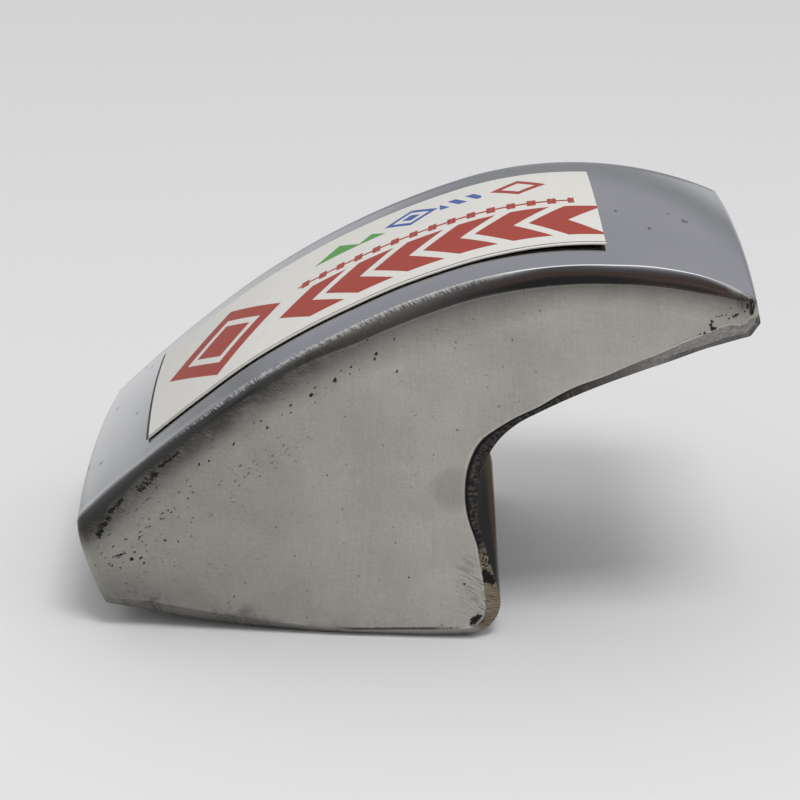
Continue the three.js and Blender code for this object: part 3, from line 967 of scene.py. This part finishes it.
    # Painted shade: the lower facet, which faces down, is painted darker
    facet = mix(under * 0.8, facet, mix(mottle.above(0.4, 0.6), grey(0.03, 0.07), grey(0.09, 0.06)))
    corner = marks(bent, spots(TIP_BLOTS, y=BLOT_DEPTH), 0, (1, 0, 0.6)) * y.below(-30.6, -29.8)
    verge = x.above(50.1, 50.9) * z.above(46.5, 48.5) * z.below(52, 53.5) * y.below(-29.5, -28)
    dingy = marks(spot, spots(TIP_DIRT)) * upright.above(0.42, 0.58)
    corner = (corner * upright.above(0.36, 0.5)).most(verge * 0.75).most(dingy * 0.7)

    # The rim is worn dull where the file ran over its lower half.
    worn = rim * polish * depth.below(0.45, 0.7) * x.above(-28, -18) * x.below(-2, 10)
    worn = worn.most(rim * polish * depth.below(0.5, 0.75) * (x + upright * 1.5).above(46.5, 49) * 0.85)
    side = side.most(worn)
    polish = polish * (1 - worn)
    colour = mix(side, mix(hooked, linished, facet), mix(pitted, ground, grey(0.015, 0.05)))
    colour = layered(colour, (polish, polished), (corner, grey(0.02, 0.1)))
    dull = (1 - polish) * 0.34 + 0.13 + side * (pitted * 0.3 + smear * 0.15)
    dull = dull + rim * polish * leftmost * 0.12 + filed_ticks_and_highlight * 0.3
    relief = side * (brushing * 0.014 - pitted * 0.08 + mottle * 0.006)
    relief = relief + polish * (ticked * ticks * 0.06 - flecks * 0.05)
    relief = relief + (1 - side) * (1 - polish) * belt * 0.03 + hooked * rasped * 0.04
    finish.paint(Base_Color=colour, Roughness=dull, Normal=finish.raised(relief))
    finish.paint(Metallic=1 - pitted * side * 0.6)

    # Hook, throat and wall: black scale that turns to rust towards the wall's far half
    grain = noise(spot, 1.7, 6, 0.75)
    ribs = noise(turned(surface, scale=(2.6, 0.5, 1)), 1, 4)
    # Painted highlight: a pale line where the rim turns into the body, low on the throat and wall
    bright = depth.above(0.8, 0.9) * depth.below(0.93, 1.0) * grain.above(0.5, 0.6) * z.below(28, 32)
    rough = layered(
        mix((grain * 0.5 + ribs * 0.5).above(0.42, 0.66), grey(0.014, 0.1), grey(0.1, 0.12)),
        (depth.below(0.25, 0.4), (0.006, 0.006, 0.012, 1)), (bright * 0.7, (0.22, 0.19, 0.14, 1)),
    )
    smooth = mix(grain.above(0.4, 0.7), (0.008, 0.008, 0.010, 1), (0.024, 0.021, 0.019, 1))
    rusty = (y + grain * 8 + (20 - z).most(0.0) * 0.9).above(-11, 1) * z.below(28, 36)
    rust = mix(z.above(12, 24), (0.12, 0.066, 0.018, 1), (0.10, 0.092, 0.034, 1))
    scale = mix(rim, mix(rusty * 0.85, smooth, rust), rough)

    # Foot's near chamfer: tan, scratched across, with black blots of scale left in it
    scratched = strokes(planar, 62, 0.16, 2.4, 2)
    blots = marks(bent, spots(FOOT_BLOTS, y=BLOT_DEPTH), 0, (1, 0, 1)) * y.below(-20, -15)
    dots = pits(facing, 0.55, 0.36, 0.6) * z.above(11.5, 12.5)
    blots = blots.most(dots).most(scratched.below(0.3, 0.36) * 0.8)
    tan = layered(
        mix(scratched.above(0.4, 0.6), (0.125, 0.105, 0.072, 1), (0.25, 0.215, 0.15, 1)),
        (noise(spot, 0.35, 2).above(0.5, 0.6) * 0.5, (0.17, 0.115, 0.06, 1)), (blots, grey(0.012, 0.05)),
    )
    relief = grain * 0.06 + rim * (1 - stain) * (grain + ribs) * 0.2
    relief = finish.raised(relief + stain * (scratched * 0.08 - blots * 0.1))
    finish.cover(forged.most(stain), Metallic=0.0, Specular_IOR_Level=0.12)
    finish.paint(Base_Color=mix(stain, scale, tan), Roughness=0.62 + grain * 0.3, Normal=relief)
    return finish.material


INK_EDGE = 0.07
RED = (0.37, 0.035, 0.016, 1)
BLUE = (0.035, 0.095, 0.36, 1)
GREEN = (0.085, 0.33, 0.055, 1)
BLACK = (0.02, 0.02, 0.025, 1)


def between(value, low, high):
    """1 where a value lies between two limits, with a soft edge."""
    return value.above(low - INK_EDGE, low + INK_EDGE) * value.below(high - INK_EDGE, high + INK_EDGE)


def lozenge(run, across, middle, reach):
    """How far a point is from the middle of a lozenge, as a share of the way to its outline."""
    return (run - middle[0]).size() / reach[0] + (across - middle[1]).size() / reach[1]


def film_finish():
    """Off-white paper with a generic print: a band of chevrons, a beaded rule, a nested lozenge and small
    marks, at the run and the way across from the near left corner."""
    finish = Finish("label_print", Metallic=0.0, Specular_IOR_Level=0.3)
    mix, noise = finish.mix, finish.noise
    place = finish.surface()
    run, across, _ = finish.parts(finish.shifted(place, 1.5, 0.12))
    top = finish.weight("top")

    pointing = run - (across - 11.5).size() * 0.8
    band = between(pointing.wrapped(8.4), 0.8, 6.9) * between(pointing, 24.6, 74.4)
    band = band * between(across, 4.2, 18.8)
    rule = between(across, 21.6, 22.4) + between(run.folded(1.6), 0.9, 1.6) * between(across, 20.5, 23.5)
    rule = rule.least(1.0) * between(run, 29, 75.5)
    heart = lozenge(run, across, (14.5, 19.5), (12.5, 17))
    nest = heart.below(0.42, 0.44) + heart.above(0.58, 0.6) * heart.below(0.9, 0.92)
    small = lozenge(run, across, (67, 33), (4.6, 4.6))
    corner = small.below(0.98, 1.0) * small.above(0.58, 0.6)
    red = band.most(rule).most(nest).most(corner)

    gem = lozenge(run, across, (49, 33), (4.8, 4.8))
    blue = gem.below(0.98, 1.0) * gem.above(0.66, 0.69) + gem.below(0.34, 0.37)
    bars = between((run + across * 0.5).folded(1.5), 0.75, 1.5)
    blue = blue.most(bars * between(across, 31, 35) * between(run, 54, 61))

    green = 0.0
    for middle, reach in ((36, 4.3), (42, 2.6)):
        peak = (run - middle).size() + (across - 29.5) * 0.75
        green = (peak.below(reach, reach + 0.1) * across.above(29.4, 29.6)).most(green)

    from_left = run + across * 0.0375
    outline = from_left.below(0.46, 0.56).most(between(across, 0.25, 0.55))
    fibre = noise(place, 0.5, 4)
    ink = 0.98 - fibre.above(0.6, 0.8) * 0.08
    colour = mix(fibre.above(0.3, 0.7), (0.77, 0.755, 0.705, 1), (0.74, 0.725, 0.675, 1))
    colour = finish.layered(colour, (red * ink, RED), (blue * ink, BLUE), (green * ink, GREEN))
    colour = mix(outline, colour, BLACK)
    # Painted shade: the label is darker towards its left end
    colour = mix(top, grey(0.45, 0.06), finish.scaled(colour, 1 - run.below(4, 26) * 0.09))
    crease = noise(finish.turned(place, (0, 0, 12), (0.10, 0.35, 1)), 1, 2)
    normal = finish.raised(crease * 0.12 + fibre * 0.008)
    finish.paint(Base_Color=colour, Roughness=0.42 + fibre * 0.12, Normal=normal)
    return finish.material


def adhesive_finish():
    finish = Finish("brown_adhesive", Metallic=0.0, Roughness=0.7)
    grain = finish.noise(finish.spot(), 0.9, 4)
    finish.paint(Base_Color=finish.mix(grain, (0.12, 0.07, 0.035, 1), (0.22, 0.14, 0.08, 1)))
    return finish.material


# Stage, with colours as linear light

FLOOR_REACH = 4.0
BACKDROP = (0.66, 0.66, 0.67, 1)
AMBIENT_LOW = (0.34, 0.34, 0.35, 1)
AMBIENT_HIGH = (0.80, 0.80, 0.81, 1)
FAR_FLOOR = (0.55, 0.56, 0.58, 1)
HORIZON = (0.25, 0.255, 0.27, 1)
BACK_ROOM = (0.44, 0.44, 0.47, 1)
FRONT_ROOM = (0.03, 0.03, 0.03, 1)
WARM_FRONT = (0.085, 0.055, 0.045, 1)
CEILING = (1.6, 1.6, 1.6, 1)
FRONT_ZENITH = (0.10, 0.095, 0.10, 1)
LIGHT_PLACE = (0.16, -0.48, 1.08)  # metres
LIGHT_SIZE = (0.45, 0.35)
LIGHT_POWER = 5.2


def make_light():
    """A soft light overhead that points at the origin. The steel doesn't mirror it."""
    data = bpy.data.lights.new("overhead", "AREA")
    data.shape = "RECTANGLE"
    data.size, data.size_y = LIGHT_SIZE
    data.energy = LIGHT_POWER
    light = placed("overhead", data)
    light.location = LIGHT_PLACE
    light.visible_glossy = False
    light.rotation_euler = (-Vector(LIGHT_PLACE)).to_track_quat("-Z", "Y").to_euler()


def light_world():
    """The room that the steel reflects: dim behind the camera, paler behind the object and overhead. Dull
    surfaces are lit evenly, and the camera sees a plain pale backdrop."""
    world = bpy.data.worlds.new("studio")
    world.use_nodes = True
    bpy.context.scene.world = world
    nodes = Nodes(world.node_tree)
    x, y, z = nodes.parts(nodes.node("TexCoord", output="Generated"))
    back = nodes.layered(FAR_FLOOR, (z.above(0.0, 0.12), HORIZON), (z.above(0.08, 0.22), BACK_ROOM))
    front = nodes.layered(FRONT_ROOM, (z.above(0.5, 0.85), WARM_FRONT), (z.above(0.8, 0.97), FRONT_ZENITH))
    dark = y.below(-0.75, -0.1).most(y.below(-0.3, 0.0) * z.above(0.5, 0.8))
    sides = nodes.mix(dark, back, front)
    overhead = (z + (0 - x).most(0.0) * 0.28).above(0.8, 0.97)
    room = nodes.mix(overhead * y.above(-0.15, 0.05), sides, CEILING)
    dull = nodes.node("LightPath", output="Is Diffuse Ray")
    seen = nodes.node("LightPath", output="Is Camera Ray")
    shader = world.node_tree.nodes["Background"]
    ambient = nodes.mix(z.most(0.0), AMBIENT_LOW, AMBIENT_HIGH)
    nodes.feed(shader.inputs["Color"], nodes.mix(seen, nodes.mix(dull, room, ambient), BACKDROP))
    shader.inputs["Strength"].default_value = 1.0


def make_stage():
    """A wide pale floor."""
    finish = Finish("pale_floor", Metallic=0.0, Roughness=0.7)
    finish.paint(Base_Color=finish.mix(finish.noise(finish.spot(), 0.003), grey(0.79), grey(0.81)))
    reach = FLOOR_REACH
    square = [(-reach, -reach, 0), (reach, -reach, 0), (reach, reach, 0), (-reach, reach, 0)]
    make_mesh("floor", square, [(0, 1, 2, 3)], finish.material)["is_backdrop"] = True


make_camera()
make_stage()
light_world()
make_light()
bpy.context.scene.view_settings.view_transform = "Standard"
make_block()
make_label()

{"cad": cad_box, "visual": corners(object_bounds())}
